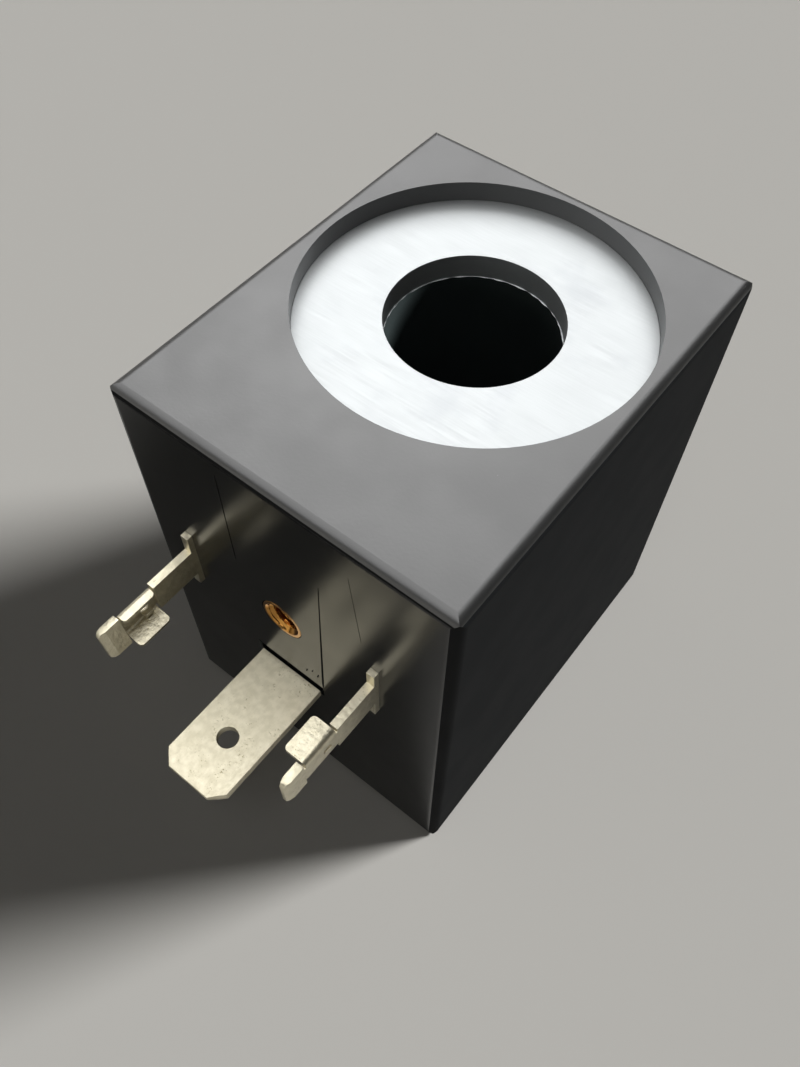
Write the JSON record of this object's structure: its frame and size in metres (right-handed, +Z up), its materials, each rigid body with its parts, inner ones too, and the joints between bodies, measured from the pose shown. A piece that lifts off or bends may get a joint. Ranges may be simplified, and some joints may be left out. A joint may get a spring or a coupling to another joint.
{
  "type": "solenoid valve coil",
  "caption": "Moulded solenoid valve coil: rectangular block with a steel pole plate in a round recess, a through bore for the valve stem, and stamped connector blades.",
  "frame": {"origin": "on the bore axis, at the bottom face", "axes": "+Z up along the bore towards the recessed plate, -Y out of the terminal face, +X across the blades"},
  "size_m": [0.0286, 0.0475, 0.0404],
  "materials": {
    "moulding": "satin moulded black",
    "pole_plate": "zinc plated, rolled",
    "flux_steel": "bare mild steel",
    "bobbin_plastic": "dark green black, satin",
    "copper_wire": "enamelled copper",
    "tape": "polyester film",
    "terminal_plate": "tin plated",
    "insert_brass": "turned",
    "sleeving": "woven glass sleeve",
    "solder": "soft solder"
  },
  "bodies": {
    "root": {"encapsulation": "moulding", "top_pole_plate": "pole_plate", "bottom_pole_plate": "pole_plate", "flux_tube": "flux_steel", "bobbin": "bobbin_plastic", "winding": "copper_wire", "winding_tape": "tape", "terminal_carrier": "moulding", "line_terminal": "terminal_plate", "neutral_terminal": "terminal_plate", "earth_terminal": "terminal_plate", "screw_insert": "insert_brass", "start_lead": "copper_wire", "finish_lead": "copper_wire", "start_sleeve": "sleeving", "finish_sleeve": "sleeving", "start_solder": "solder", "finish_solder": "solder"}
  },
  "joints": []
}
